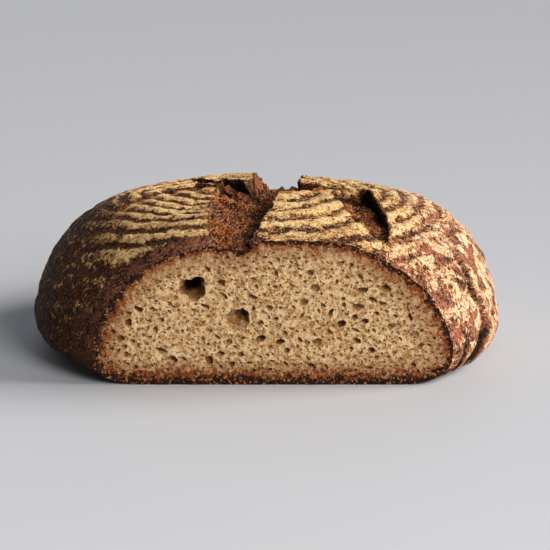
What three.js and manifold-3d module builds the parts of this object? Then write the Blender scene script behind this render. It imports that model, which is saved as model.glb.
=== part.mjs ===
// A round hearth loaf of sourdough. It was proved upside down in a coiled cane basket,
// scored with three crossing cuts, baked, and shortened by one straight slice, so that
// its crumb shows on one side. It is one solid, because crust and crumb are one piece.
//
// Frame: millimetres, +Z up. The origin is on the table, under the middle of the round
// loaf. The sliced face looks along -Y.

import * as THREE from "three";
import { mergeVertices } from "three/addons/utils/BufferGeometryUtils.js";
import Module from "manifold-3d";

// Driving dimensions, in millimetres and degrees.
const LOAF_RADIUS = 102.5; // half of the widest width
const CROWN_HEIGHT = 67; // top of the dome, without the lifted lips of the scores
const BELLY_HEIGHT = 12; // height of the widest ring above the table
const FOOT_RADIUS = 81; // mean radius of the flat spot that the loaf rests on
const FOOT_SHIFT = 8; // length by which the flat spot is pushed towards +X
const FOOT_STRETCH = 11; // length by which it is longer along Y and shorter along X
const SLICE_DISTANCE = 66.6; // from the middle of the loaf to the sliced face
const LOAF_SKEW = 0.02; // share by which the outline is pulled along one diagonal
const LOAF_TAPER = 0.02; // share by which the outline is drawn in on both diagonals

// The dome is a superellipse: share^spread + rise^DOME_RISE = 1. It is fuller at the sides
// than at the front and back, and its spread varies round the loaf accordingly.
const DOME_SPREAD = 4.45;
const SPREAD_STRETCH = 0.45; // extra spread at the sides, taken off at the front and back
const DOME_RISE = 1.67;
const BELLY_ROUNDNESS = 0.87; // power of the curve from the widest ring down to the foot

// Lumps that a hand-shaped loaf has: height, wave length and heading of each.
const LUMPS = [
  { height: 0.7, wave: 74, heading: 25 },
  { height: 0.5, wave: 47, heading: 110 },
  { height: 0.4, wave: 31, heading: -40 },
];

// Where the loaf swelled or stayed low in the oven: place, height and reach of each.
const SWELLINGS = [
  { x: 66, y: -2, height: 3.7, reach: 28 }, // the +X shoulder
  { x: 22, y: -64, height: 2.6, reach: 24 }, // under the opened flap in front
  { x: 60, y: -62, height: -1.8, reach: 16 }, // beside that flap
];

// The scores: six arms of three cuts that cross near the crown. Each has opened in the
// oven to its own width and depth, and lifted the crust beside it. An arm starts at a
// place near the crossing and runs outwards on its heading.
const SCORE_ARMS = [
  { x: -5, y: 10, heading: -96, length: 96, width: 27, depth: 6 },
  { x: -17, y: 6, heading: 208, length: 60, width: 5, depth: 4 },
  { x: -6, y: 2, heading: 125, length: 56, width: 11, depth: 6 },
  { x: 6, y: -1, heading: 88, length: 83, width: 20, depth: 7 },
  { x: 4, y: -2, heading: 12, length: 39, width: 10, depth: 5 },
  { x: 36, y: -7, heading: -74, length: 52, width: 14, depth: 6 },
];
const LIP_HEIGHT = 3; // lift of the crust beside a score, near the crown
const LIP_REACH = 34; // distance over which that lift fades
const CUT_OVERLAP = 8; // length by which each arm runs back past its start
const WIDEST_SHARE = 0.35; // share of an arm's length at which it is widest

// The two large gas holes that the slice opened: place on the face, and half sizes.
const GAS_HOLES = [
  { x: -30, z: 41, halfWidth: 6, halfHeight: 4.7, depth: 10 },
  { x: -12, z: 28, halfWidth: 5.5, halfHeight: 5, depth: 6 },
];

// Mesh fineness.
const SECTORS = 84;
const DOME_RINGS = 22;
const BELLY_RINGS = 5;
const ARM_SECTORS = 20;
const ARM_RINGS = 12;
const HOLE_SECTORS = 14;
const HOLE_RINGS = 10;
const MERGE_DISTANCE = 1e-4;

const CREAM_BROWN = 0x8a5a34;
const SLAB_SIZE = 2.4 * LOAF_RADIUS; // the cutting slab, wider and taller than the loaf

const wasm = await Module();
wasm.setup();

/** A closed three.js geometry as a manifold-3d solid. */
function toSolid(geometry) {
  const bare = geometry.clone();
  bare.deleteAttribute("normal");
  bare.deleteAttribute("uv");
  const merged = mergeVertices(bare, MERGE_DISTANCE);
  return new wasm.Manifold(
    new wasm.Mesh({
      numProp: 3,
      vertProperties: merged.attributes.position.array,
      triVerts: new Uint32Array(merged.index.array),
    }),
  );
}

/** A manifold-3d solid as a three.js geometry. */
function toGeometry(solid) {
  const mesh = solid.getMesh();
  const geometry = new THREE.BufferGeometry();
  geometry.setAttribute("position", new THREE.BufferAttribute(mesh.vertProperties, 3));
  geometry.setIndex(new THREE.BufferAttribute(mesh.triVerts, 1));
  geometry.computeVertexNormals();
  return geometry;
}

/** Radius of the loaf's outline at an angle round it, in radians. */
function outlineRadius(angle) {
  const diagonal = Math.sin(2 * angle);
  return LOAF_RADIUS * (1 - LOAF_SKEW * diagonal - LOAF_TAPER * diagonal ** 2);
}

/** Radius of the flat spot at an angle round the loaf, in radians. */
function footRadius(angle) {
  return FOOT_RADIUS + FOOT_SHIFT * Math.cos(angle) - FOOT_STRETCH * Math.cos(2 * angle);
}

/** How full the dome is at an angle round the loaf, in radians. */
function spreadAt(angle) {
  return DOME_SPREAD + SPREAD_STRETCH * Math.cos(2 * angle);
}

/** Height of the smooth dome at an angle, and a share of the outline's radius, 0 to 1. */
function domeHeight(angle, share) {
  const rise = (1 - share ** spreadAt(angle)) ** (1 / DOME_RISE);
  return BELLY_HEIGHT + (CROWN_HEIGHT - BELLY_HEIGHT) * rise;
}

/** Height that the lumps and the swellings add at a place on the dome. */
function lumpHeight(x, y) {
  const swollen = SWELLINGS.reduce((sum, swelling) => {
    const aside = Math.hypot(x - swelling.x, y - swelling.y) / swelling.reach;
    return sum + swelling.height * Math.exp(-(aside ** 2));
  }, 0);
  return LUMPS.reduce((sum, lump) => {
    const heading = THREE.MathUtils.degToRad(lump.heading);
    const along = x * Math.cos(heading) + y * Math.sin(heading);
    return sum + lump.height * Math.sin((2 * Math.PI * along) / lump.wave);
  }, swollen);
}

/** Height that the lifted crust round the crossing of the scores adds. */
function lipHeight(x, y) {
  return LIP_HEIGHT * Math.exp(-((Math.hypot(x, y) / LIP_REACH) ** 2));
}

/** A point of the whole loaf's skin: angle round it, and share of the way from crown to foot centre. */
function skinPoint(angle, ring) {
  const outline = outlineRadius(angle);
  const foot = Math.min(footRadius(angle), outline - BELLY_HEIGHT / 2);
  if (ring <= DOME_RINGS) {
    const share = Math.sin((ring / DOME_RINGS) * (Math.PI / 2));
    const x = share * outline * Math.cos(angle);
    const y = share * outline * Math.sin(angle);
    const fade = 1 - share ** spreadAt(angle);
    const z = domeHeight(angle, share) + fade * (lumpHeight(x, y) + lipHeight(x, y));
    return new THREE.Vector3(x, y, z);
  }
  if (ring <= DOME_RINGS + BELLY_RINGS) {
    const turn = ((ring - DOME_RINGS) / BELLY_RINGS) * (Math.PI / 2);
    const radius = foot + (outline - foot) * Math.max(0, Math.cos(turn)) ** BELLY_ROUNDNESS;
    const z = ring === DOME_RINGS + BELLY_RINGS ? 0 : BELLY_HEIGHT * (1 - Math.sin(turn));
    return new THREE.Vector3(radius * Math.cos(angle), radius * Math.sin(angle), z);
  }
  return new THREE.Vector3(0, 0, 0);
}

/** The loaf before it was scored and sliced: a sphere's mesh laid on the loaf's skin. */
function wholeLoaf() {
  const rings = DOME_RINGS + BELLY_RINGS + 1;
  const geometry = new THREE.SphereGeometry(1, SECTORS, rings);
  geometry.rotateX(Math.PI / 2);
  const position = geometry.attributes.position;
  for (let i = 0; i < position.count; i++) {
    const direction = new THREE.Vector3().fromBufferAttribute(position, i);
    const angle = Math.atan2(direction.y, direction.x);
    const ring = Math.round((Math.acos(THREE.MathUtils.clamp(direction.z, -1, 1)) / Math.PI) * rings);
    const point = skinPoint(angle, ring);
    position.setXYZ(i, point.x, point.y, point.z);
  }
  return toSolid(geometry);
}

/** The space that one arm of a score opened: a long boat shape laid in the dome's surface. */
function scoreArm({ x, y, heading, length, width, depth }) {
  const start = new THREE.Vector2(x, y);
  const angle = THREE.MathUtils.degToRad(heading);
  const direction = new THREE.Vector2(Math.cos(angle), Math.sin(angle));
  const surface = (distance) => {
    const place = start.clone().addScaledVector(direction, distance);
    const share = place.length() / outlineRadius(place.angle());
    return new THREE.Vector3(
      place.x,
      place.y,
      domeHeight(place.angle(), share) + LIP_HEIGHT / 2,
    );
  };
  const boat = new THREE.SphereGeometry(1, ARM_SECTORS, ARM_RINGS);
  boat.rotateZ(Math.PI / 2); // a pole at each pointed end, along X
  const position = boat.attributes.position;
  const widest = length * WIDEST_SHARE;
  const side = new THREE.Vector2(-direction.y, direction.x);
  for (let i = 0; i < position.count; i++) {
    const along = position.getX(i);
    const reach = along < 0 ? widest + CUT_OVERLAP : length - widest;
    const keel = surface(widest + along * reach);
    const across = (position.getY(i) * width) / 2;
    position.setXYZ(
      i,
      keel.x + side.x * across,
      keel.y + side.y * across,
      keel.z + position.getZ(i) * depth,
    );
  }
  return toSolid(boat);
}

/** The slab of bread that was sliced away. */
function slicedAway() {
  const slab = new THREE.BoxGeometry(SLAB_SIZE, SLAB_SIZE, SLAB_SIZE);
  slab.translate(0, -SLICE_DISTANCE - SLAB_SIZE / 2, 0);
  return toSolid(slab);
}

/** One large gas hole, open on the sliced face. */
function gasHole({ x, z, halfWidth, halfHeight, depth }) {
  const bubble = new THREE.SphereGeometry(1, HOLE_SECTORS, HOLE_RINGS);
  bubble.scale(halfWidth, depth, halfHeight);
  bubble.translate(x, -SLICE_DISTANCE, z);
  return toSolid(bubble);
}

let loaf = wholeLoaf();
for (const arm of SCORE_ARMS) {
  loaf = loaf.subtract(scoreArm(arm));
}
loaf = loaf.subtract(slicedAway());
for (const hole of GAS_HOLES) {
  loaf = loaf.subtract(gasHole(hole));
}

const bread = new THREE.MeshStandardMaterial({ color: CREAM_BROWN, roughness: 0.85, metalness: 0 });
const loafMesh = new THREE.Mesh(toGeometry(loaf), bread);
loafMesh.name = "sourdough_loaf";

const part = new THREE.Group();
part.add(loafMesh);
export default part;
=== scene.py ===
"""The looks of a sliced sourdough loaf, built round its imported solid.

The loaf is one piece: a skin of crust laid on the loaf's form, with the flour rings of a coiled
basket, six opened arms of a star score and the creases of a hand-folded dough. One flat slice
shows the crumb, and gas pores are cut into it. Sizes inside the classes are in millimetres, in
the frame of the solid: +Z up, the sliced face looks along -Y. The finished mesh is in metres.
"""

from __future__ import annotations

import logging
import math
import random
from dataclasses import dataclass, field
from enum import Enum
from functools import cached_property
from typing import Any

import bmesh
import bpy
import numpy as np
from mathutils import Euler, Matrix, Vector, kdtree, noise

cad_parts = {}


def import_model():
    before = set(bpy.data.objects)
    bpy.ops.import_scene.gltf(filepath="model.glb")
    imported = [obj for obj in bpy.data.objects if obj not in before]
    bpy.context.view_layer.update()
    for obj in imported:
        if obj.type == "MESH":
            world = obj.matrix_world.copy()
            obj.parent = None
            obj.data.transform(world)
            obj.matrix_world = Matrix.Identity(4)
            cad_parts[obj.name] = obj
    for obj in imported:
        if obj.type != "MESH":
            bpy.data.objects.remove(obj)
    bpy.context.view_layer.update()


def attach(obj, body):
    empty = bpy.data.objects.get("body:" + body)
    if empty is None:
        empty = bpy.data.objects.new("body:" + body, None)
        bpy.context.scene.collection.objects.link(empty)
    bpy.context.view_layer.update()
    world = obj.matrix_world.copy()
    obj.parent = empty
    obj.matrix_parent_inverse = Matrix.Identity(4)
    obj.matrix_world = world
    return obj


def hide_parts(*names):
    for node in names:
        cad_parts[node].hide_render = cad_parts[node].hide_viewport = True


LOG = logging.getLogger("loaf")

Array = np.ndarray
Socket = bpy.types.NodeSocket
Tree = bpy.types.NodeTree

MM = 0.001  # metres in a millimetre
CRUMB_SLOT = 1  # number of the crumb's finish on the mesh; the crust's is 0
RIM = 2.0  # thickness in millimetres of the thinnest crust on the sliced face
WIDE_PORE = 6.0  # width in millimetres above which a pore counts as a hole

# Sockets of the colour Mix node, which share their names with hidden ones.
MIX_FACTOR = 0
MIX_LOW = 6
MIX_HIGH = 7
MIX_RESULT = 2


def srgb(code: str) -> tuple[float, float, float, float]:
    """Turns an sRGB hex colour into linear light.

    Args:
        code: Six hex digits, with or without a leading hash.

    Returns:
        Red, green, blue and an alpha of one.
    """
    digits = code.lstrip("#")
    parts = [int(digits[i : i + 2], 16) / 255 for i in (0, 2, 4)]
    linear = [p / 12.92 if p <= 0.04045 else ((p + 0.055) / 1.055) ** 2.4 for p in parts]
    return (linear[0], linear[1], linear[2], 1.0)


def per_mm(size: float) -> float:
    """Gives the texture scale, in object metres, whose features are that many millimetres wide."""
    return 1 / (size * MM)


def add_node(
    tree: Tree,
    kind: str,
    inputs: dict[int | str, Any] | None = None,
    output: int | str = 0,
    **settings: Any,
) -> Socket | None:
    """Adds a shader node with its settings, values and links.

    Args:
        tree: The material's node tree.
        kind: The node's type name.
        inputs: Socket to a value, or to the output socket that feeds it.
        output: The output socket to hand back.
        **settings: The node's own options.

    Returns:
        The chosen output socket, or None for a node without outputs.
    """
    made = tree.nodes.new(kind)
    for name, value in settings.items():
        setattr(made, name, value)
    for key, value in (inputs or {}).items():
        if isinstance(value, Socket):
            tree.links.new(value, made.inputs[key])
        else:
            made.inputs[key].default_value = value
    return made.outputs[output] if len(made.outputs) else None


def ramp(tree: Tree, value: Socket, low: float, high: float, top: float = 1.0) -> Socket | None:
    """Adds a smooth step of a value, from 0 at low to top at high.

    Args:
        tree: The material's node tree.
        value: The socket that is stepped.
        low: Value at which the step starts; it may lie above high.
        high: Value at which the step is complete.
        top: Result past the step.

    Returns:
        The step's output socket.
    """
    return add_node(
        tree,
        "ShaderNodeMapRange",
        {"Value": value, "From Min": low, "From Max": high, "To Max": top},
        interpolation_type="SMOOTHSTEP",
    )


def blend(tree: Tree, share: Socket, low: Socket | str, high: Socket | str) -> Socket | None:
    """Adds a blend of two colours.

    Args:
        tree: The material's node tree.
        share: Share of the second colour.
        low: First colour, a hex code or a socket.
        high: Second colour, a hex code or a socket.

    Returns:
        The blended colour's socket.
    """
    low, high = (srgb(colour) if isinstance(colour, str) else colour for colour in (low, high))
    inputs = {MIX_FACTOR: share, MIX_LOW: low, MIX_HIGH: high}
    return add_node(tree, "ShaderNodeMix", inputs, MIX_RESULT, data_type="RGBA")


def noise_grain(
    tree: Tree,
    place: Socket,
    size: float,
    detail: float,
    roughness: float = 0.65,
) -> Socket | None:
    """Adds cloudy noise whose features are size millimetres wide.

    Args:
        tree: The material's node tree.
        place: The coordinates' socket.
        size: Width of the coarsest features in millimetres.
        detail: Number of finer layers.
        roughness: Strength of each finer layer against the one before.

    Returns:
        The noise's socket, about 0.5 on average.
    """
    return add_node(
        tree,
        "ShaderNodeTexNoise",
        {"Vector": place, "Scale": per_mm(size), "Detail": detail, "Roughness": roughness},
    )


def weigh(
    tree: Tree,
    value: Socket,
    weight: Socket | float,
    plus: Socket | float = 0.0,
) -> Socket | None:
    """Adds a value times a weight, plus another value.

    Args:
        tree: The material's node tree.
        value: The socket that is weighed.
        weight: What it is multiplied by.
        plus: What is added to that.

    Returns:
        The sum's socket.
    """
    inputs = {0: value, 1: weight, 2: plus}
    return add_node(tree, "ShaderNodeMath", inputs, operation="MULTIPLY_ADD")


def new_material(name: str) -> tuple[bpy.types.Material, Tree]:
    """Starts a material with an empty node tree."""
    material = bpy.data.materials.new(name)
    material.use_nodes = True
    material.node_tree.nodes.clear()
    return material, material.node_tree


def read_masks(tree: Tree, *names: str) -> list[Socket | None]:
    """Adds a node for each of the mesh's masks that a material reads."""
    return [
        add_node(tree, "ShaderNodeAttribute", output="Fac", attribute_name=name) for name in names
    ]


def add_bump(tree: Tree, relief: Socket, height: float) -> Socket | None:
    """Adds fine relief, height millimetres high where relief rises by one."""
    inputs = {"Strength": 1.0, "Distance": height * MM, "Height": relief}
    return add_node(tree, "ShaderNodeBump", inputs)


def add_surface(tree: Tree, inputs: dict[int | str, Any]) -> None:
    """Adds the shader with its inputs, and the material's output."""
    shader = add_node(tree, "ShaderNodeBsdfPrincipled", inputs)
    add_node(tree, "ShaderNodeOutputMaterial", {"Surface": shader})


def link_object(name: str, data: bpy.types.ID) -> bpy.types.Object:
    """Puts data into the scene as an object."""
    made = bpy.data.objects.new(name, data)
    bpy.context.scene.collection.objects.link(made)
    return made


def write_mask(mesh: bpy.types.Mesh, name: str, values: Any) -> None:
    """Writes one value for each vertex, where a material can read it."""
    layer = mesh.attributes.new(name, "FLOAT", "POINT")
    layer.data.foreach_set("value", np.array(values, np.float32))


def search_tree(places: list[Vector]) -> kdtree.KDTree:
    """Builds a search tree of places, numbered in their order."""
    tree = kdtree.KDTree(len(places))
    for number, place in enumerate(places):
        tree.insert(place, number)
    tree.balance()
    return tree


def smooth(low: float, high: float, value: Array) -> Array:
    """Steps smoothly from 0 at low to 1 at high."""
    share = np.clip((value - low) / (high - low), 0, 1)
    return share * share * (3 - 2 * share)


def grain(points: Array, size: float, octaves: int = 3, seed: float = 0.0) -> Array:
    """Fractal noise at each point.

    Args:
        points: Rows of x, y, z in millimetres.
        size: Width of the coarsest features in millimetres.
        octaves: Number of finer layers that are added.
        seed: Shift that picks another part of the same noise.

    Returns:
        One value for each point, about -1 to 1.
    """
    shift = Vector((seed, seed * 1.7, seed * 0.6))
    scaled = points / size
    return np.array(
        [noise.fractal(Vector(row) + shift, 0.9, 2.1, octaves) for row in scaled.tolist()]
    )


class EarSide(Enum):
    """The side of a score on which the crust lifted into an ear, seen along the arm."""

    LEFT = 1.0
    RIGHT = -1.0


@dataclass(frozen=True)
class CrustFinish:
    """Hearth-baked sourdough crust: caramelised and blistered, with rye flour baked onto it.

    The eye gets dark brown to fox red with a faint sheen where the dough was wet, dead matte cream
    where flour sits on the basket rings, and rough red-brown where the scores tore open.
    """

    name: str = "sourdough_crust"
    dark: str = "#170b06"
    brown: str = "#55301a"
    red: str = "#b4634a"
    spark: str = "#d09a72"
    spark_brown: str = "#8f4f28"
    torn_dark: str = "#30120c"
    torn_red: str = "#bf5c26"
    torn_plum: str = "#4b2528"
    torn_spark: str = "#f4b070"
    flour_thin: str = "#c68446"
    flour_thick: str = "#ffdc9c"
    flour_pink_thin: str = "#cd8d62"
    flour_pink_thick: str = "#ffdfb4"
    speck: str = "#2c170a"
    # Painted highlight: a pale line along the scores' far lips and the crests of the crease laps.
    lip_highlight: str = "#dba467"
    # Painted shade: near black under the score ears and crease laps and at the scores' overhung
    # starts; the same colour darkens the crust towards the bottom.
    near_black: str = "#0d0603"
    # Widths of the grains and flakes, in millimetres.
    patch_width: float = 9.0
    mottle_width: float = 2.4
    crumb_width: float = 0.9
    pit_width: float = 1.1
    fibre_width: float = 1.3
    gob_width: float = 6.0
    flake_width: float = 5.5
    speck_width: float = 1.7
    blister_width: float = 1.7
    relief_height: float = 1.2

    def build(self) -> bpy.types.Material:
        """Makes the crust material."""
        material, tree = new_material(self.name)
        place = add_node(tree, "ShaderNodeTexCoord", output="Object")
        flour, torn, shade_and_base_dark, fox, lip_highlight = read_masks(tree, "flour", "torn", "shade_and_base_dark", "fox", "lip_highlight")
        patches = noise_grain(tree, place, self.patch_width, 3)
        mottle = noise_grain(tree, place, self.mottle_width, 5, 0.75)
        crumbs = noise_grain(tree, place, self.crumb_width, 2)
        fibres = noise_grain(tree, place, self.fibre_width, 4, 0.75)

        # Bare crust, brown to fox red, with dark pits and lighter crumbs.
        baked = blend(tree, fox, self.brown, self.red)
        mixed = weigh(tree, fox, 0.03, weigh(tree, patches, 0.6, mottle))
        bare = blend(tree, ramp(tree, mixed, 0.73, 0.88), self.dark, baked)
        lit = blend(tree, fox, self.spark_brown, self.spark)
        bare = blend(tree, ramp(tree, crumbs, 0.51, 0.62, 0.8), bare, lit)
        pits = noise_grain(tree, place, self.pit_width, 3, 0.7)
        bare = blend(tree, ramp(tree, pits, 0.54, 0.62, 0.85), bare, self.dark)

        # Torn dough in the scores: fibres and gobs, with plum patches and light crumbs.
        gobs = noise_grain(tree, place, self.gob_width, 3, 0.6)
        lumpy = ramp(tree, weigh(tree, gobs, 0.9, fibres), 0.88, 1.04)
        tear = blend(tree, lumpy, self.torn_dark, self.torn_red)
        tear = blend(tree, ramp(tree, patches, 0.48, 0.60, 0.75), tear, self.torn_plum)
        tear = blend(tree, ramp(tree, crumbs, 0.52, 0.60, 0.85), tear, self.torn_spark)
        skin = blend(tree, torn, bare, tear)

        # Flour: its mask is broken up into grains, and on the fox red crust into flakes with
        # hairline cracks that the mottle bends.
        waver = weigh(tree, mottle, 4 * MM)
        bent = add_node(tree, "ShaderNodeVectorMath", {0: place, 1: waver}, operation="ADD")
        flakes = {"Vector": bent, "Scale": per_mm(self.flake_width)}
        crack = add_node(tree, "ShaderNodeTexVoronoi", flakes, feature="DISTANCE_TO_EDGE")
        cracks = weigh(tree, ramp(tree, crack, 0.07, 0.02), fox)
        broken = weigh(tree, crumbs, 1.8, weigh(tree, mottle, 2.9, flour))
        broken = weigh(tree, cracks, -0.5, broken)
        flour_share = ramp(tree, broken, 2.73, 2.89)
        thin = blend(tree, fox, self.flour_thin, self.flour_pink_thin)
        thick = blend(tree, fox, self.flour_thick, self.flour_pink_thick)
        dust = blend(tree, ramp(tree, broken, 2.75, 3.6), thin, thick)
        # Dark specks of bare crust, closer together where the flour is thin.
        specks = weigh(tree, flour, -0.17, noise_grain(tree, place, self.speck_width, 4, 0.75))
        dust = blend(tree, ramp(tree, specks, 0.41, 0.48, 0.9), dust, self.speck)
        dusted = blend(tree, flour_share, skin, dust)
        # Painted highlight along the scores' far lips and the crease laps' crests.
        dusted = blend(tree, lip_highlight, dusted, self.lip_highlight)
        # Painted shade: darkens the crust to near black under the ears and crease laps and at the
        # scores' overhung starts, and darker towards the bottom.
        colour = blend(tree, shade_and_base_dark, dusted, self.near_black)
        roughness = add_node(
            tree, "ShaderNodeMapRange", {"Value": flour_share, "To Min": 0.62, "To Max": 0.95}
        )

        # Relief: blisters, mottle and crumbs, and the fibres where the dough is torn.
        blisters = {"Vector": place, "Scale": per_mm(self.blister_width), "Smoothness": 0.6}
        bubbles = add_node(tree, "ShaderNodeTexVoronoi", blisters, feature="SMOOTH_F1")
        relief = weigh(tree, mottle, 2.2, weigh(tree, bubbles, -0.5, crumbs))
        relief = weigh(tree, weigh(tree, fibres, torn), 4.0, relief)
        bump = add_bump(tree, relief, self.relief_height)
        inputs = {"Base Color": colour, "Roughness": roughness, "IOR": 1.45}
        add_surface(tree, {**inputs, "Specular IOR Level": 0.16, "Normal": bump})
        return material


@dataclass(frozen=True)
class CrumbFinish:
    """Sliced crumb of a part-wholemeal sourdough: moist, springy starch with bran flecks.

    The eye gets a warm beige with a fine brown pore grain, browner and denser towards the crust,
    and a toasted, crumbly rim where the slice runs through the crust.
    """

    name: str = "sourdough_crumb"
    pale: str = "#f6d4a2"
    deep: str = "#ab743c"
    # Painted shade: the colour of pores too fine to cut and of the cut pores' walls, then near
    # black for the deep ones.
    pore: str = "#7d4a1c"
    hollow_shade: str = "#2a1408"
    dense: str = "#8a4c20"
    rim: str = "#230e06"
    rim_light: str = "#86431e"
    rim_spark: str = "#cd8b50"
    # Widths of the grains, in millimetres.
    starch_width: float = 1.6
    fine_pore_width: float = 1.9
    grit_width: float = 2.0
    toast_width: float = 2.4
    spark_width: float = 1.3
    relief_height: float = 0.9

    def build(self) -> bpy.types.Material:
        """Makes the crumb material."""
        material, tree = new_material(self.name)
        place = add_node(tree, "ShaderNodeTexCoord", output="Object")
        edge, depth = read_masks(tree, "edge_mm", "pore_mm")

        # Starch mottle, and painted shade of pores too fine to cut.
        mottle = noise_grain(tree, place, self.starch_width, 4, 0.7)
        colour = blend(tree, ramp(tree, mottle, 0.34, 0.64), self.deep, self.pale)
        cells = {"Vector": place, "Scale": per_mm(self.fine_pore_width), "Smoothness": 0.2}
        fine = add_node(tree, "ShaderNodeTexVoronoi", cells, feature="SMOOTH_F1")
        fine_pore = ramp(tree, fine, 0.30, 0.10)
        colour = blend(tree, weigh(tree, fine_pore, 0.7), colour, self.pore)

        # Painted shade in the cut pores: their walls are painted browner with depth, and the deep
        # ones nearly black.
        colour = blend(tree, ramp(tree, depth, 0.3, 5.0, 0.85), colour, self.pore)
        colour = blend(tree, ramp(tree, depth, 5.0, 9.5), colour, self.hollow_shade)

        # Towards the crust: denser crumb, then the toasted rim. edge_mm is the distance to the
        # rim, scaled so that the rim is 2 mm thick everywhere.
        grit = noise_grain(tree, place, self.grit_width, 5, 0.75)
        wander = weigh(tree, grit, -14.0, edge)
        colour = blend(tree, ramp(tree, wander, 4.5, -3.3, 0.5), colour, self.dense)
        colour = blend(tree, ramp(tree, wander, -3.1, -5.2, 0.9), colour, self.dense)
        toast = noise_grain(tree, place, self.toast_width, 5, 0.75)
        inner = ramp(tree, weigh(tree, edge, 0.10, toast), 0.60, 0.74)
        rim = blend(tree, inner, self.rim, self.rim_light)
        sparks = noise_grain(tree, place, self.spark_width, 3, 0.65)
        rim = blend(tree, ramp(tree, sparks, 0.57, 0.63, 0.75), rim, self.rim_spark)
        colour = blend(tree, ramp(tree, wander, -4.0, -5.4), colour, rim)

        relief = weigh(tree, toast, 1.6, weigh(tree, fine_pore, -0.8, mottle))
        bump = add_bump(tree, relief, self.relief_height)
        inputs = {"Base Color": colour, "Roughness": 0.8, "IOR": 1.4}
        add_surface(tree, {**inputs, "Specular IOR Level": 0.25, "Normal": bump})
        return material


@dataclass(frozen=True)
class TableFinish:
    """Matte pale table top, plain, so that only the loaf's shadow shows on it."""

    name: str = "pale_table"
    colour: str = "#babdc3"

    def build(self) -> bpy.types.Material:
        """Makes the table material."""
        material, tree = new_material(self.name)
        colour = srgb(self.colour)
        add_surface(tree, {"Base Color": colour, "Roughness": 0.6, "Specular IOR Level": 0.3})
        return material


@dataclass(frozen=True)
class ScoreArm:
    """One arm of the star score: a curved cut that opened in the oven.

    The arm runs from start past bend to end. Half widths are at its start, middle and end. The
    crust lifts by lift into an ear on one side, and by far_lift on the other. The torn floor
    falls from far_depth on that other side to depth under the ear. Shade is painted on the floor
    over the first dark_start share of the arm, where the crust overhangs it.
    """

    start: tuple[float, float]
    bend: tuple[float, float]
    end: tuple[float, float]
    half_widths: tuple[float, float, float]
    depth: float
    lift: float
    ear: EarSide
    far_depth: float = 0.8
    far_lift: float = 0.8
    dark_start: float = 0.01
    samples: int = 80

    def line(self) -> tuple[Array, Array, Array]:
        """Works out the arm's centre line.

        Returns:
            The points, the unit directions, and each point's share of the way along.
        """
        share = np.linspace(0, 1, self.samples)[:, None]
        a, b, c = (np.array(p) for p in (self.start, self.bend, self.end))
        points = (1 - share) ** 2 * a + 2 * share * (1 - share) * b + share**2 * c
        step = np.gradient(points, axis=0)
        return points, step / np.linalg.norm(step, axis=1)[:, None], share[:, 0]

    def measure(self, plan: Array) -> dict[str, Array]:
        """Places points of the loaf, seen from above, beside the arm.

        Args:
            plan: Rows of x and y.

        Returns:
            Share along the arm, signed distance towards the ear, half width there, the direction
            towards the ear, and how far past the arm's ends a point lies.
        """
        points, direction, share = self.line()
        gap = plan[:, None, :] - points[None, :, :]
        nearest = np.argmin((gap**2).sum(axis=2), axis=1)
        near_direction = direction[nearest]
        offset = gap[np.arange(len(plan)), nearest]
        side = np.stack([-near_direction[:, 1], near_direction[:, 0]], axis=1) * self.ear.value
        along = share[nearest]
        return {
            "along": along,
            "across": (offset * side).sum(axis=1),
            "half_width": np.interp(along, [0, 0.5, 1], self.half_widths),
            "side": side,
            "past": np.abs((offset * near_direction).sum(axis=1)),
        }


@dataclass(frozen=True)
class Crease:
    """A fold of the crust: a groove along a line of points, with the crust lapped over on one side.

    The lap is on the side of the larger angle round the loaf when lap is positive.
    """

    points: tuple[tuple[float, float, float], ...]
    depth: float
    width: float
    lap: float = 0.0
    lap_reach: float = 7.0


@dataclass(frozen=True)
class Pore:
    """One gas pore on the sliced face: place, size and turn, in millimetres and degrees."""

    x: float
    z: float
    width: float
    height: float
    depth: float
    turn: float = 0.0
    ragged: float = 0.12


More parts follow.
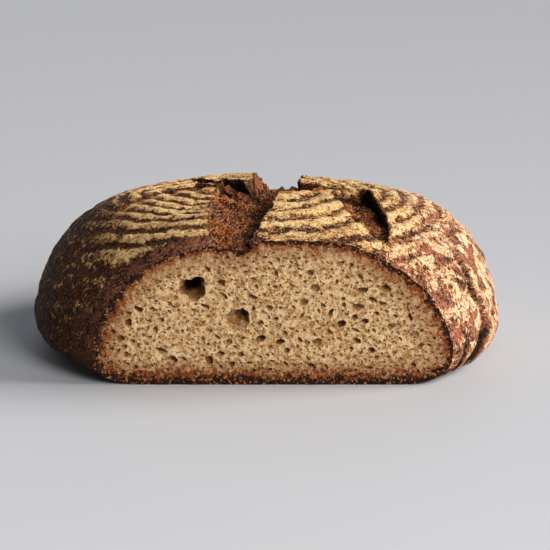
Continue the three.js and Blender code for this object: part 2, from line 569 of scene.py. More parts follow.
@dataclass
class LoafForm:
    """The smooth form of the loaf, as in the solid: dome, belly and flat foot."""

    radius: float = 102.5
    crown: float = 67.0
    belly: float = 12.0
    foot: float = 81.0
    foot_shift: float = 8.0
    foot_stretch: float = 11.0
    slice_distance: float = 66.6
    skew: float = 0.02
    taper: float = 0.02
    spread: float = 4.45
    spread_stretch: float = 0.45
    rise: float = 1.67
    roundness: float = 0.87
    # The low bulge beside the slice: its angle and reach round the loaf, in radians, and how much
    # squarer the belly is there.
    squared: tuple[float, float, float] = (-2.3, 0.3, 0.38)
    lip_height: float = 3.0
    lip_reach: float = 34.0
    # Where the loaf swelled or stayed low: x, y, height and reach of each.
    swellings: tuple[tuple[float, float, float, float], ...] = (
        (66.0, -2.0, 3.7, 28.0),
        (22.0, -64.0, 2.6, 24.0),
        (60.0, -62.0, -1.8, 16.0),
    )
    # Waves in the dough: height, length and heading of each.
    waves: tuple[tuple[float, float, float], ...] = ((0.7, 74, 25), (0.5, 47, 110), (0.4, 31, -40))
    ring_step: float = 0.95
    belly_rings: int = 14
    foot_rings: int = 5

    def outline(self, angle: Array) -> Array:
        """Radius of the outline at angles round the loaf."""
        diagonal = np.sin(2 * angle)
        return self.radius * (1 - self.skew * diagonal - self.taper * diagonal**2)

    def foot_radius(self, angle: Array) -> Array:
        """Radius of the flat spot at angles round the loaf."""
        radius = (
            self.foot + self.foot_shift * np.cos(angle) - self.foot_stretch * np.cos(2 * angle)
        )
        return np.minimum(radius, self.outline(angle) - self.belly / 2)

    def spread_at(self, angle: Array) -> Array:
        """How full the dome is at angles round the loaf."""
        return self.spread + self.spread_stretch * np.cos(2 * angle)

    def dome(self, angle: Array, share: Array) -> Array:
        """Height of the dome at angles, and shares of the outline's radius."""
        fall = np.clip(share, 0, 1) ** self.spread_at(angle)
        rise = np.clip(1 - fall, 0, 1) ** (1 / self.rise)
        return self.belly + (self.crown - self.belly) * rise

    def lumps(self, x: Array, y: Array) -> Array:
        """Lumps of the dough, its swellings, and the lift of the crust at the crossing."""
        total = self.lip_height * np.exp(-((np.hypot(x, y) / self.lip_reach) ** 2))
        for centre_x, centre_y, height, reach in self.swellings:
            total = total + height * np.exp(-((np.hypot(x - centre_x, y - centre_y) / reach) ** 2))
        for height, wave, heading in self.waves:
            turn = math.radians(heading)
            along = x * math.cos(turn) + y * math.sin(turn)
            total = total + height * np.sin(2 * math.pi * along / wave)
        return total

    @cached_property
    def dome_rings(self) -> tuple[Array, Array]:
        """Shares of the outline's radius of the dome's rings, and the way over the dome to each."""
        fine = np.linspace(0, 1, 6000)
        height = self.dome(np.full_like(fine, math.pi / 4), fine)
        steps = np.hypot(np.diff(fine * self.radius), np.diff(height))
        travelled = np.concatenate([[0], np.cumsum(steps)])
        travel = np.linspace(0, travelled[-1], round(travelled[-1] / self.ring_step) + 1)
        return np.interp(travel, travelled, fine), travel

    @property
    def dome_count(self) -> int:
        """Number of the last ring of the dome, which is the widest one."""
        return len(self.dome_rings[0]) - 1

    @property
    def last_ring(self) -> int:
        """Number of the last ring, the middle of the foot."""
        return self.dome_count + self.belly_rings + self.foot_rings

    def place(self, angle: Array, ring: Array) -> Array:
        """Places points of the smooth skin.

        Args:
            angle: Angles round the loaf.
            ring: Ring numbers from the crown, which may lie between two rings.

        Returns:
            Rows of x, y and z.
        """
        widest = self.dome_count
        share = np.interp(ring, np.arange(widest + 1), self.dome_rings[0])
        turn = np.clip((ring - widest) / self.belly_rings, 0, 1) * math.pi / 2
        inner = 1 - np.clip((ring - widest - self.belly_rings) / self.foot_rings, 0, 1)
        reach, foot = self.outline(angle), self.foot_radius(angle)
        # The crust bulges low down beside the left end of the slice.
        corner, corner_reach, squaring = self.squared
        power = self.roundness - squaring * np.exp(-(((angle - corner) / corner_reach) ** 2))
        below = inner * (foot + (reach - foot) * np.clip(np.cos(turn), 0, 1) ** power)
        radius = np.where(ring <= widest, reach * share, below)
        x, y = radius * np.cos(angle), radius * np.sin(angle)
        fade = 1 - share ** self.spread_at(angle)
        z = self.dome(angle, share) + fade * self.lumps(x, y) - self.belly * np.sin(turn)
        return np.column_stack([x, y, z])

    def normal(self, angle: Array, ring: Array) -> Array:
        """Outward directions of the smooth skin, for the same points as place."""
        ring = np.clip(ring, 0.6, self.last_ring - 0.6)
        along = self.place(angle, ring + 0.5) - self.place(angle, ring - 0.5)
        around = self.place(angle + 0.004, ring) - self.place(angle - 0.004, ring)
        direction = np.cross(along, around)
        return direction / np.maximum(np.linalg.norm(direction, axis=1), 1e-9)[:, None]


@dataclass
class Skin:
    """The crust: the form's surface with flour rings, scores, creases and crackle moved into it."""

    form: LoafForm
    sectors: int = 450
    ring_pitch: float = 8.6
    ring_pitch_side: float = 12.5
    ring_height: float = 1.1
    flap_spacing: float = 0.26
    flap_arms: tuple[int, int] = (0, 5)
    left_flap_shift: tuple[float, float] = (-20.0, 22.0)
    crossing: tuple[float, float] = (-6.0, 3.0)
    crossing_reach: tuple[float, float] = (15.0, 8.0)
    crossing_depth: float = 4.5
    # Where the opened flap in front starts and ends along X.
    front_flap: tuple[float, float] = (-2.0, 46.0)
    # Scores: rounding of an arm's start, distances over which its ear and its far lip come down
    # to the crust, and how far the ear is pushed over the floor, and the floor under the ear.
    score_cap: float = 7.0
    ear_fade: float = 6.0
    far_lip_fade: float = 4.0
    overhang: float = 1.9
    undercut: float = 1.4
    arms: tuple[ScoreArm, ...] = (
        # Wide arm in front, cut through by the slice.
        ScoreArm(
            (-5, 10), (-10, -22), (-15, -86), (14.0, 13.5, 8.0), 6.8, 1.3, EarSide.LEFT, 1.2, 0.7
        ),
        # Two narrow arms on the left.
        ScoreArm((-17, 6), (-46, 3), (-70, -24), (3.2, 3.0, 1.8), 3.4, 1.4, EarSide.RIGHT, 1.8),
        ScoreArm((-6, 2), (-20, 22), (-38, 48), (6.5, 5.0, 2.0), 5.0, 0.4, EarSide.RIGHT),
        # Deep arm at the back.
        ScoreArm((6, -1), (6, 34), (9, 97), (9.0, 12.0, 11.0), 10.5, 0.5, EarSide.RIGHT, 9.5, 0.5),
        # Narrow arm on the right, and the slit in front of it.
        ScoreArm((4, -2), (20, -2), (42, 6), (6.5, 5.0, 1.5), 4.6, 0.4, EarSide.LEFT),
        ScoreArm(
            (37, -9), (42, -30), (51, -60), (8.5, 8.0, 4.0), 6.0, 1.2, EarSide.LEFT, 1.8, 0.0, 0.2
        ),
    )
    creases: tuple[Crease, ...] = (
        Crease(
            points=(
                *((70, -28, 60), (82, -38, 47), (88, -45, 33)),
                *((95, -42, 21), (90, -49, 12), (84, -56, 4)),
            ),
            depth=4.4,
            width=1.6,
            lap=3.2,
            lap_reach=9.0,
        ),
        Crease(((80, -62, 17), (78, -64, 9), (73, -65, 3)), 2.0, 1.1, 1.3, 4.0),
        Crease(((85, -58, 20), (83, -60, 11), (78, -62, 3)), 2.0, 1.1, 1.5, 4.5),
    )

    def build(self) -> tuple[bpy.types.Mesh, dict[str, Array]]:
        """Makes the whole loaf's skin, before it is sliced.

        Returns:
            The closed mesh in millimetres, and the masks of its vertices.
        """
        shape = bmesh.new()
        bmesh.ops.create_uvsphere(
            shape, u_segments=self.sectors, v_segments=self.form.last_ring, radius=1
        )
        mesh = bpy.data.meshes.new("skin")
        shape.to_mesh(mesh)
        shape.free()
        ball = np.empty(len(mesh.vertices) * 3)
        mesh.vertices.foreach_get("co", ball)
        points, masks = self.lay(ball.reshape(-1, 3))
        mesh.vertices.foreach_set("co", points.ravel())
        mesh.update()
        return mesh, masks

    def lay(self, ball: Array) -> tuple[Array, dict[str, Array]]:
        """Lays a unit ball's vertices on the loaf's skin.

        Args:
            ball: The ball's vertices.

        Returns:
            The vertices on the loaf, in millimetres, and their masks.
        """
        angle = np.arctan2(ball[:, 1], ball[:, 0])
        polar = np.arccos(np.clip(ball[:, 2], -1, 1))
        ring = np.rint(polar / math.pi * self.form.last_ring)
        base, normal = self.form.place(angle, ring), self.form.normal(angle, ring)
        widest = self.form.dome_count
        travel = np.interp(ring, np.arange(widest + 1), self.form.dome_rings[1])
        travel = travel + np.clip(ring - widest, 0, None) * self.form.ring_step
        on_dome = ring <= widest
        above = smooth(0, 14, base[:, 2])

        cut, lift, shift, torn, wall_shade, lip_highlight = self.scores(base[:, :2], on_dome)
        ridge = self.basket_rings(base, travel)
        groove, lap, fold_highlight, under = self.folds(base, angle)
        rough = 0.4 * grain(base, 5.0, 4, 3.0) + 0.5 * grain(base, 14.0, 2, 8.0)
        tear = 1.8 * grain(base, 3.6, 3, 21.0) + 1.1 * grain(base, 1.9, 2, 27.0)
        # The rings' relief is lower beside the slice and on the -X flank.
        calm = 0.3 + 0.7 * smooth(2, 20, base[:, 1] + self.form.slice_distance)
        calm = calm * (1 - 0.45 * smooth(-50, -85, base[:, 0]))
        relief = (1 - torn) * calm * self.ring_height * (ridge - 0.5)
        out = above * (relief + rough + torn * tear + lap - groove)
        points = base + normal * out[:, None]
        points[:, :2] += shift
        points[:, 2] += lift - cut
        flour = self.flour(base, ridge, torn, groove)
        # Mask of painted shade under the ears, at the scores' overhung starts and under the crease
        # laps, rising towards the bottom.
        shade_and_base_dark = np.clip(np.maximum(0.9 * wall_shade, under) + 0.5 * smooth(10, 0, base[:, 2]), 0, 1)
        masks = {"flour": flour, "torn": torn, "shade_and_base_dark": shade_and_base_dark, "fox": self.redness(base)}
        # Painted highlight along the scores' far lips and the crease laps' crests.
        return points, {**masks, "lip_highlight": np.maximum(lip_highlight, fold_highlight)}

    def redness(self, base: Array) -> Array:
        """How fox red the crust is, 0 to 1: beside the slice, and on the +X flank."""
        x, y, _ = base.T
        flap_start, flap_end = self.front_flap
        beside = np.select([x < flap_start, x < flap_end], [0.5, 0.3], 0.75)
        band = np.where(x < flap_start, 10, 16)
        beside = beside * smooth(band, 2, y + self.form.slice_distance)
        flank = smooth(48, 74, x) * (1 - 0.75 * smooth(0, 60, y))
        red = np.maximum(beside, flank) + 0.5 * grain(base, 20.0, 2, 51.0)
        return np.clip(red, 0, 1) * smooth(-84, -50, x)

    def basket_rings(self, base: Array, travel: Array) -> Array:
        """Flour rings that the coils of the basket pressed, 0 between rings to 1 on a ring."""
        path = np.linspace(0, 200, 800)
        pitch = self.ring_pitch + (self.ring_pitch_side - self.ring_pitch) * smooth(66, 112, path)
        turns = np.concatenate([[0], np.cumsum(np.diff(path) / pitch[1:])])
        wobble = 0.35 * grain(base, 45.0, 2, 5.0) + 0.2 * grain(base, 8.0, 3, 15.0)
        # The opened flap in front lies flatter, so that its rings stand wider apart.
        left, right = (self.arms[i].measure(base[:, :2])["across"] for i in self.flap_arms)
        flap = smooth(-4, 4, left) * smooth(3, -3, right) * smooth(14, 6, base[:, 1])
        # The flap on the left was pushed outwards as the cut opened, and its rings with it.
        moved = np.hypot(*(base[:, :2] - self.left_flap_shift).T) - np.hypot(*base[:, :2].T)
        travel = travel + moved * smooth(4, -4, left) * smooth(45, -25, base[:, 1])
        phase = np.interp(travel, path, turns) * (1 - self.flap_spacing * flap) + wobble
        wave = 0.5 - 0.5 * np.cos(2 * math.pi * (phase + 0.1))
        return wave**0.8

    def flour(self, base: Array, ridge: Array, torn: Array, groove: Array) -> Array:
        """How much flour lies on each point, 0 to 1.

        Args:
            base: Points on the form.
            ridge: The basket's rings.
            torn: Mask of the torn dough, which is bare.
            groove: Depth of the creases.

        Returns:
            The flour's mask.
        """
        x, y, z = base.T
        # Rings on the crown, with some flour left between them.
        rings = smooth(0.06, 0.8, ridge + 0.45 * grain(base, 5.0, 3, 60.0))
        between = 0.08 + 0.30 * smooth(-30, 10, x) + 0.16 * smooth(8, 25, y)
        rings = between + (1 - between) * rings
        # Flakes on the +X flank, and only a sparse dusting on the -X flank.
        side = 0.8 * smooth(50, 78, x) * smooth(64, 50, z) * smooth(80, 20, y)
        flakes = smooth(0.31, 0.57, 0.5 + 0.6 * grain(base, 7.0, 4, 40.0))
        cover = (1 - side) * rings + side * flakes
        patchy = 0.5 + 0.5 * grain(base, 18.0, 3, 12.0)
        cover = cover * (0.72 + 0.5 * patchy) * (1 - 0.04 * smooth(0, -22, x))
        left = smooth(-50, -88, x)
        sparse = 0.5 * smooth(0.54, 0.74, 0.5 + 0.6 * grain(base, 3.2, 3, 70.0))
        cover = cover * (1 - 0.85 * left) + left * sparse
        cover = cover * (1 - 0.35 * smooth(40, 12, z) * smooth(10, -30, x))
        # Little flour beside the slice.
        flap_start, flap_end = self.front_flap
        bare_band = np.where((x > flap_start) & (x < flap_end), 6.0, 11.0)
        near_slice = smooth(bare_band, 0.2 * bare_band, y + self.form.slice_distance)
        cover = cover * (1 - near_slice * np.where(x < 0, 0.9, 0.3))
        return np.clip(cover * (1 - torn) * (1 - 0.5 * np.clip(groove, 0, 1)), 0, 1)

    def folds(self, base: Array, angle: Array) -> tuple[Array, ...]:
        """Grooves and laps of the creases.

        Args:
            base: Points on the form.
            angle: Their angles round the loaf.

        Returns:
            Depth of the grooves, height of the laps, mask of the highlight painted on the laps'
            edges and mask of the shade painted in the grooves and on the laps' undersides at each
            point.
        """
        groove, lap, edge, under = (np.zeros(len(base)) for _ in range(4))
        for crease in self.creases:
            knots = np.array(crease.points, float)
            share = np.linspace(0, len(knots) - 1, 90)
            line = np.column_stack(
                [np.interp(share, np.arange(len(knots)), knots[:, i]) for i in range(3)]
            )
            near = np.where(np.linalg.norm(base - line.mean(axis=0), axis=1) < 60)[0]
            gaps = np.linalg.norm(base[near, None, :] - line[None], axis=2)
            best = np.argmin(gaps, axis=1)
            distance = gaps[np.arange(len(near)), best]
            way = best / (len(line) - 1)
            ends = smooth(0, 0.45, way) * smooth(1.0, 0.92, way)
            side = np.sign(angle[near] - np.arctan2(line[best, 1], line[best, 0]))
            width = crease.width * (0.6 + 0.4 * smooth(0.4, 0.75, way))
            broken = grain(line[best], 9.0, 2, 33.0) + way - 0.4
            ends = ends * (0.7 + 0.3 * smooth(-0.2, 0.1, broken))
            groove[near] += crease.depth * ends * np.exp(-((distance / width) ** 2))
            over = crease.lap * ends * np.exp(-((distance / crease.lap_reach) ** 2))
            lap[near] += np.where(side > 0, over, 0)
            # Painted highlight along the lap's crest.
            lit = 0.6 * ends * np.exp(-(((distance - 3.6) / 1.2) ** 2))
            edge[near] = np.maximum(edge[near], np.where(side > 0, lit, 0))
            # Painted shade in the groove and under the lap.
            reach = 2.0 * width / crease.width
            shade = 0.97 * ends * smooth(reach, 0.6 * reach, distance * np.where(side > 0, 1, 1.5))
            under[near] = np.maximum(under[near], shade)
        return groove, lap, edge, under

    def scores(self, plan: Array, on_dome: Array) -> tuple[Array, ...]:
        """Opens the arms of the star score.

        Args:
            plan: Rows of x and y on the form.
            on_dome: Which points lie on the dome.

        Returns:
            Depth, lift, sideways shift, torn mask, painted wall shade mask and painted lip
            highlight mask at each point.
        """
        count = len(plan)
        depth, lift, torn, wall_shade, lip_highlight, opened = (np.zeros(count) for _ in range(6))
        shift = np.zeros((count, 2))
        uneven = grain(np.column_stack([plan, np.zeros(count)]), 7.0, 3, 31.0)
        for arm in self.arms:
            found = arm.measure(plan)
            along, past = found["along"], found["past"]
            across = found["across"] + 0.9 * uneven
            # How wide the arm is open: rounded at its start, pointed at its end.
            cap = np.sqrt(np.clip(1 - (past / self.score_cap) ** 2, 0, 1))
            point = smooth(1.0, 0.72, along) ** 0.7
            half = np.maximum(found["half_width"] * cap * point, 0.3)
            ends = smooth(1.0, 0.8, along) * smooth(self.score_cap, 4, past)
            ends = np.where(on_dome, ends, 0)
            # The torn floor, between its wall under the ear and its gentle side.
            rising = smooth(half - 0.8, half + 0.6, across)
            gentle = smooth(-half - 0.5, -half + 0.5, across)
            inside = gentle * (1 - rising) * ends
            bared = smooth(-half - 1.2, -half - 0.4, across)
            bared = bared * smooth(half + 1.3, half + 0.6, across)
            slope = np.clip((across / half + 1) / 1.7, 0, 1)
            shallow = 1 - 0.5 * smooth(0.4, 0.8, along)
            floor = arm.far_depth + (arm.depth * shallow - arm.far_depth) * slope**0.8
            depth = np.maximum(depth, inside * floor)
            opened = np.maximum(opened, inside)
            torn = np.maximum(torn, bared * ends)
            # The crust beside it: the ear, which hangs over the floor, and the far lip.
            past_ear, past_lip = (np.clip(way - half, 0, None) for way in (across, -across))
            ear = arm.lift * np.exp(-past_ear / self.ear_fade) * rising
            far_lip = arm.far_lift * np.exp(-past_lip / self.far_lip_fade) * (1 - gentle)
            middle = smooth(1.05, 0.35, along) * ends
            lift = np.maximum(lift, (ear + far_lip) * middle)
            under = self.undercut * smooth(half - 6, half - 0.8, across) * (1 - rising)
            over = -self.overhang * rising * np.exp(-past_ear / 3.5)
            shift += found["side"] * ((under + over) * ends * np.minimum(1, half / 4))[:, None]
            # Painted shade on the walls: under the ear, at the arm's rounded start, and where it is
            # overhung.
            from_wall = across - half + 0.6
            near_wall = np.exp(-((from_wall / np.where(from_wall < 0, 4.2, 2.2)) ** 2)) * ends
            rounded = smooth(1.0, 5.0, past) * smooth(0.5, 0.4, along)
            overhung = smooth(arm.dark_start, 0.4 * arm.dark_start, along)
            near_wall = np.maximum(near_wall, inside * np.maximum(rounded, overhung))
            wall_shade = np.maximum(wall_shade, near_wall * np.minimum(1, arm.depth * shallow / 4))
            # Painted highlight: a pale line just outside the far lip.
            edges = np.exp(-(((across + half + 1.7) / 0.8) ** 2))
            lip_highlight = np.maximum(lip_highlight, edges * ends * min(1.0, arm.far_lift))
        lift = lift * (1 - opened)
        # Where the cuts cross, the dough under them sank.
        gap = (plan - np.array(self.crossing)) / np.array(self.crossing_reach)
        depth = depth + self.crossing_depth * opened * np.exp(-(gap**2).sum(axis=1))
        lip_highlight = lip_highlight * np.clip(0.85 + 0.5 * uneven, 0, 1)
        return depth, lift, shift, torn, 0.9 * wall_shade * torn, lip_highlight


@dataclass
class Crumb:
    """The sliced face: the slab of bread that is gone, and the gas pores that the slice opened."""

    form: LoafForm
    slab_size: tuple[float, float] = (200.0, 84.0)
    grid: float = 1.3
    cut_roughness: float = 0.28
    seed: int = 11
    small_pores: int = 560
    large: tuple[Pore, ...] = (
        Pore(-30, 41.5, 11.6, 9.8, 11.0, 8, 0.13),
        Pore(-12, 28, 10.8, 9.4, 4.2, -20, 0.1),
        Pore(-9.5, 29.5, 6.6, 6.4, 7.5, -20, 0.1),
        Pore(-2, 20, 4.6, 2.9, 3.4, 25),
        Pore(6, 18.5, 3.9, 2.7, 3.2, 12),
        Pore(-18.5, 13.5, 3.4, 2.1, 2.6, -5),
        Pore(20.5, 41.5, 4.4, 3.7, 2.8, 0),
        Pore(16, 35.5, 3.8, 3.2, 2.2, 30),
        Pore(18.5, 48, 3.0, 3.0, 2.4, 0),
        Pore(40, 40.5, 5.0, 3.0, 2.2, 8),
        Pore(50, 41.5, 4.2, 3.2, 3.0, -20),
        Pore(37, 29, 3.0, 2.5, 2.6, 0),
        Pore(52, 25, 3.6, 2.5, 2.2, 15),
        Pore(38, 19, 3.9, 2.4, 2.8, -30),
        Pore(44, 15, 3.2, 2.9, 2.8, 0),
        Pore(61.5, 21.5, 4.6, 3.8, 1.8, 10),
        Pore(-43.5, 15, 6.0, 1.9, 2.2, -18),
        Pore(-60, 20, 3.8, 2.8, 2.2, 0),
    )

    def slab(self) -> bpy.types.Mesh:
        """Makes the bread that was sliced away, with a fine grid on the side of the cut.

        Returns:
            A closed mesh in millimetres.
        """
        width, height = self.slab_size
        shape = bmesh.new()
        grid = bmesh.ops.create_grid(
            shape,
            x_segments=round(width / self.grid),
            y_segments=round(height / self.grid),
            size=0.5,
        )
        upright = Matrix.Rotation(math.pi / 2, 4, "X")
        place = Matrix.Translation((0, -self.form.slice_distance, height / 2 - 4)) @ upright
        bmesh.ops.scale(shape, vec=(width, height, 1), verts=grid["verts"])
        bmesh.ops.transform(shape, matrix=place, verts=grid["verts"])
        for vertex in shape.verts:
            vertex.co.y += self.cut_roughness * noise.fractal(vertex.co / 4.5, 0.9, 2.0, 3)
        back = bmesh.ops.extrude_face_region(shape, geom=shape.faces[:], use_keep_orig=True)
        moved = [v for v in back["geom"] if isinstance(v, bmesh.types.BMVert)]
        bmesh.ops.translate(shape, vec=(0, -60, 0), verts=moved)
        bmesh.ops.recalc_face_normals(shape, faces=shape.faces[:])
        for face in shape.faces:
            face.material_index = CRUMB_SLOT
        mesh = bpy.data.meshes.new("slab")
        shape.to_mesh(mesh)
        shape.free()
        return mesh

    def scatter(self) -> list[Pore]:
        """Scatters small pores between the large ones, none touching another.

        Returns:
            The large and the small pores.
        """
        draw = random.Random(self.seed)
        pores = list(self.large)
        tries = 0
        while len(pores) < len(self.large) + self.small_pores and tries < 60000:
            tries += 1
            x = draw.uniform(-76, 80)
            z = draw.uniform(4.5, 64)
            size = draw.choices((1.1, 1.6, 2.3, 3.2), (30, 32, 26, 12))[0] * draw.uniform(0.8, 1.25)
            stretch = draw.uniform(1.0, 2.3)
            turn = draw.gauss(0, 30)
            margin = 3.2 + size * 0.7
            if not self.inside(x, z, margin):
                continue
            pore = Pore(x, z, size * stretch**0.5, size / stretch**0.5, size * 0.8, turn, 0.16)
            if all(self.clear(pore, other) for other in pores):
                pores.append(pore)
        return pores

    def inside(self, x: float, z: float, margin: float) -> bool:
        """Tells whether a place on the sliced face lies that far inside the crust."""
        angle = np.arctan2(-self.form.slice_distance, x)
        chord = float(np.hypot(x + math.copysign(margin, x), self.form.slice_distance))
        share = chord / float(self.form.outline(angle))
        top = float(self.form.dome(angle, np.array(share)))
        return share < 0.99 and margin + 1 < z < top - margin

    @staticmethod
    def depth_scale(place: Vector, holes: tuple[Pore, ...]) -> float:
        """How much deeper a place looks than it is: little light gets into a small pore."""
        in_hole = any(
            math.hypot(place.x - hole.x, place.z - hole.z) < 0.7 * hole.width
            for hole in holes
            if hole.width > WIDE_PORE
        )
        return 1.0 if in_hole else 2.2

    @staticmethod
    def clear(pore: Pore, other: Pore) -> bool:
        """Tells whether two pores keep a wall of crumb between them."""
        gap = math.hypot(pore.x - other.x, pore.z - other.z)
        reach = max(pore.width, pore.height) + max(other.width, other.height)
        return gap > reach / 2 + 0.25

    def pore_shapes(self, pores: list[Pore]) -> list[bpy.types.Mesh]:
        """Makes the bubbles to cut out of the loaf.

        Args:
            pores: The pores, the large ones first. None of the small ones touches another.

        Returns:
            Meshes in millimetres: one of separate bubbles, and one for each bubble that overlaps.
        """
        draw = random.Random(self.seed + 1)
        apart, crowded = bmesh.new(), []
        for number, pore in enumerate(pores):
            mesh = self.bubble(pore, f"pore_{number}", draw)
            touches = any(other is not pore and not self.clear(pore, other) for other in self.large)
            if touches and number < len(self.large):
                crowded.append(mesh)
            else:
                apart.from_mesh(mesh)
                bpy.data.meshes.remove(mesh)
        together = bpy.data.meshes.new("pores")
        apart.to_mesh(together)
        apart.free()
        return [together, *crowded]

    def bubble(self, pore: Pore, name: str, draw: random.Random) -> bpy.types.Mesh:
        """Makes one ragged bubble, finer and more ragged when it is wide.

        Args:
            pore: The pore.
            name: The mesh's name.
            draw: Source of the raggedness.

        Returns:
            A closed mesh in millimetres.
        """
        wide = pore.width > WIDE_PORE
        fineness = 4 if wide else 3 if pore.width > 3.4 else 2
        shape = bmesh.new()
        bmesh.ops.create_icosphere(shape, subdivisions=fineness, radius=0.5)
        seed = Vector((draw.uniform(0, 90), draw.uniform(0, 90), draw.uniform(0, 90)))
        rough = 2.6 if wide else 1.7
        for vertex in shape.verts:
            swell = noise.fractal(vertex.co * rough + seed, 0.8, 2.0, 2)
            vertex.co *= 1 + 2.4 * pore.ragged * swell
        bmesh.ops.scale(shape, vec=(pore.width, pore.depth * 2, pore.height), verts=shape.verts)
        turn = Euler((0, -math.radians(pore.turn), 0)).to_matrix()
        bmesh.ops.rotate(shape, matrix=turn, verts=shape.verts)
        away = -self.form.slice_distance - 0.1 * pore.depth
        bmesh.ops.translate(shape, vec=(pore.x, away, pore.z), verts=shape.verts)
        for face in shape.faces:
            face.material_index = CRUMB_SLOT
        mesh = bpy.data.meshes.new(name)
        shape.to_mesh(mesh)
        shape.free()
        return mesh


@dataclass
class Loaf:
    """The finished loaf: skin, slice, pores and finishes in one piece."""

    form: LoafForm = field(default_factory=LoafForm)
    piece_name: str = "loaf"
    body: str = "root"
    node: str = "sourdough_loaf"
    slot: str = "bread"

    def build(self) -> bpy.types.Object:
        """Makes the loaf's mesh and dresses it.

        Returns:
            The loaf, at the origin, with its place in its mesh.
        """
        skin, masks = Skin(self.form).build()
        crumb = Crumb(self.form)
        finishes = [CrustFinish().build(), CrumbFinish().build()]
        whole = search_tree([vertex.co for vertex in skin.vertices])
        mesh = self.cut(skin, crumb.slab(), finishes)
        LOG.info("sliced: %d faces", len(mesh.polygons))
        for bubbles in crumb.pore_shapes(crumb.scatter()):
            mesh = self.cut(mesh, bubbles, finishes)
        LOG.info("pores cut: %d faces", len(mesh.polygons))
        self.tidy(mesh)
        self.mark(mesh, whole, masks)
        mesh.transform(Matrix.Scale(MM, 4))
        mesh.name = self.piece_name
        loaf = link_object(self.piece_name, mesh)
        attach(loaf, self.body)
        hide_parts(self.node)
        return loaf

    @staticmethod
    def rim_thickness(place: Vector) -> float:
        """Thickness of the crust on the sliced face near a place, in millimetres."""
        low = min(1.0, max(0.0, (11.0 - place.z) / 7.0))
        left = min(1.0, max(0.0, (-52.0 - place.x) / 14.0))
        right = min(1.0, max(0.0, (place.x - 30.0) / 30.0))
        return RIM + max(3.0 * low, 2.4 * left, 0.9 * right)

    @staticmethod
    def cut(
        mesh: bpy.types.Mesh, tool: bpy.types.Mesh, finishes: list[bpy.types.Material]
    ) -> bpy.types.Mesh:
        """Cuts one closed mesh out of another.

        Args:
            mesh: The mesh that is cut.
            tool: The mesh that is taken away.
            finishes: Materials that both carry, so that each face keeps its own.

        Returns:
            What is left, as a new mesh.
        """
        objects = []
        for data in (mesh, tool):
            for finish in finishes[len(data.materials) :]:
                data.materials.append(finish)
            objects.append(link_object(data.name, data))
        knife = objects[0].modifiers.new("cut", "BOOLEAN")
        knife.operation = "DIFFERENCE"
        knife.solver = "MANIFOLD"
        knife.object = objects[1]
        graph = bpy.context.evaluated_depsgraph_get()
        result = bpy.data.meshes.new_from_object(objects[0].evaluated_get(graph))
        for made in objects:
            data = made.data
            bpy.data.objects.remove(made)
            bpy.data.meshes.remove(data)
        return result

    @staticmethod
    def tidy(mesh: bpy.types.Mesh) -> None:
        """Merges doubles, makes triangles and sets smooth faces with sharp cut edges."""
        shape = bmesh.new()
        shape.from_mesh(mesh)
        bmesh.ops.remove_doubles(shape, verts=shape.verts[:], dist=0.02)
        bmesh.ops.dissolve_degenerate(shape, edges=shape.edges[:], dist=0.005)
        bmesh.ops.triangulate(shape, faces=shape.faces[:])
        for face in shape.faces:
            face.smooth = True
        shape.to_mesh(mesh)
        shape.free()
        mesh.set_sharp_from_angle(angle=math.radians(48))

    def mark(self, mesh: bpy.types.Mesh, whole: kdtree.KDTree, masks: dict[str, Array]) -> None:
        """Writes the masks that the finishes read onto the vertices.

        Args:
            mesh: The finished mesh, in millimetres.
            whole: Search tree of the unsliced skin.
            masks: Masks of the unsliced skin's vertices.
        """
        count = len(mesh.vertices)
        crust_side = np.zeros(count, bool)
        crumb_side = np.zeros(count, bool)
        for face in mesh.polygons:
            side = crumb_side if face.material_index == CRUMB_SLOT else crust_side
            for corner in face.vertices:
                side[corner] = True
        places = [vertex.co.copy() for vertex in mesh.vertices]
        nearest = np.array([whole.find(place)[1] for place in places])
        for name, values in masks.items():
            write_mask(mesh, name, values[nearest])
        edges = search_tree([places[i] for i in np.where(crust_side & crumb_side)[0]])
        face_y = -self.form.slice_distance
        far = [
            edges.find((p.x, face_y, p.z))[2] * RIM / self.rim_thickness(p) if inside else 0.0
            for p, inside in zip(places, crumb_side)
        ]
        # Depth behind the sliced face, counted deeper in small pores, which sets the crumb's
        # painted pore shade.
        deep = [max(0.0, p.y - face_y) * Crumb.depth_scale(p, Crumb.large) for p in places]
        write_mask(mesh, "edge_mm", far)
        write_mask(mesh, "pore_mm", deep)


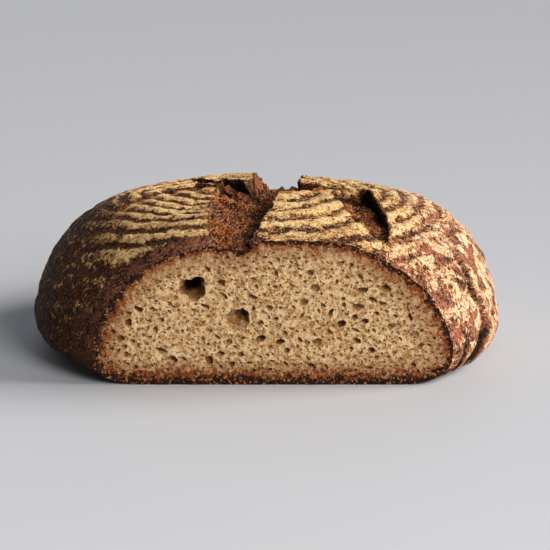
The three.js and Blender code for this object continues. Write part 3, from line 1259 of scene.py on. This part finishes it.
@dataclass
class Studio:
    """Plain pale table, soft light from a window behind on the right, and the camera."""

    aim: tuple[float, float, float] = (4.0, 0.0, 30.5)
    elevation: float = 14.0
    distance: float = 1000.0
    lens: float = 148.0

    def camera(self) -> bpy.types.Object:
        """Places the camera low in front of the sliced face."""
        data = bpy.data.cameras.new("camera")
        data.lens = self.lens
        data.sensor_width = 36.0
        camera = link_object("camera", data)
        tilt = math.radians(self.elevation)
        back = Vector((0, -math.cos(tilt), math.sin(tilt)))
        camera.location = (Vector(self.aim) + back * self.distance) * MM
        camera.rotation_euler = (-back).to_track_quat("-Z", "Y").to_euler()
        bpy.context.scene.camera = camera
        return camera

    def table(self) -> bpy.types.Object:
        """Lays the table."""
        shape = bmesh.new()
        bmesh.ops.create_grid(shape, x_segments=1, y_segments=1, size=6.0)
        mesh = bpy.data.meshes.new("table")
        shape.to_mesh(mesh)
        shape.free()
        mesh.materials.append(TableFinish().build())
        table = link_object("table", mesh)
        return table

    @staticmethod
    def hang(
        name: str,
        kind: str,
        place: tuple[float, float, float],
        power: float,
        colour: str,
        target: tuple[float, float, float] = (0.0, 0.0, 0.0),
        **settings: float,
    ) -> bpy.types.Object:
        """Hangs one light that looks at the loaf.

        Args:
            name: What the light does.
            kind: AREA for a softbox, SUN for a broad far light, as a large window gives.
            place: Its place in metres, or for a far light the direction to it.
            power: Its power in watts, or for a far light in watts per square metre.
            colour: Its colour as sRGB hex.
            target: The place that it looks at, in metres.
            **settings: Its side in metres as size, or how wide it looks as angle.

        Returns:
            The light.
        """
        data = bpy.data.lights.new(name, kind)
        data.energy = power
        data.color = srgb(colour)[:3]
        for setting, value in settings.items():
            setattr(data, setting, value)
        light = link_object(name, data)
        light.location = place
        look = Vector(target) - Vector(place)
        light.rotation_euler = look.to_track_quat("-Z", "Y").to_euler()
        return light

    def light(self) -> None:
        """Hangs the lights and sets the pale surroundings."""
        window, curtain = math.radians(36), math.radians(70)
        self.hang("window", "SUN", (0.92, 0.08, 0.42), 5.2, "#fffaf4", angle=window)
        self.hang("curtain", "SUN", (-0.1, 0.9, 0.45), 0.55, "#f4f7ff", angle=curtain)
        middle = (0.0, 0.0, 0.03)
        self.hang("front_fill", "AREA", (0.80, -1.20, 0.80), 21.0, "#fffaf4", middle, size=0.8)
        world = bpy.data.worlds.new("surroundings")
        world.use_nodes = True
        world.node_tree.nodes.clear()
        pale = {"Color": srgb("#eef1f6"), "Strength": 0.11}
        sky = add_node(world.node_tree, "ShaderNodeBackground", pale)
        add_node(world.node_tree, "ShaderNodeOutputWorld", {"Surface": sky})
        bpy.context.scene.world = world
        bpy.context.scene.view_settings.view_transform = "Standard"


def main() -> None:
    """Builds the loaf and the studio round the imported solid."""
    logging.basicConfig(level=logging.INFO, format="%(name)s: %(message)s")
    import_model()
    studio = Studio()
    studio.camera()
    loaf = Loaf().build()
    LOG.info("%s: %d triangles", loaf.name, len(loaf.data.polygons))
    table = studio.table()
    LOG.info("%s laid", table.name)
    studio.light()


if __name__ == "__main__":
    main()
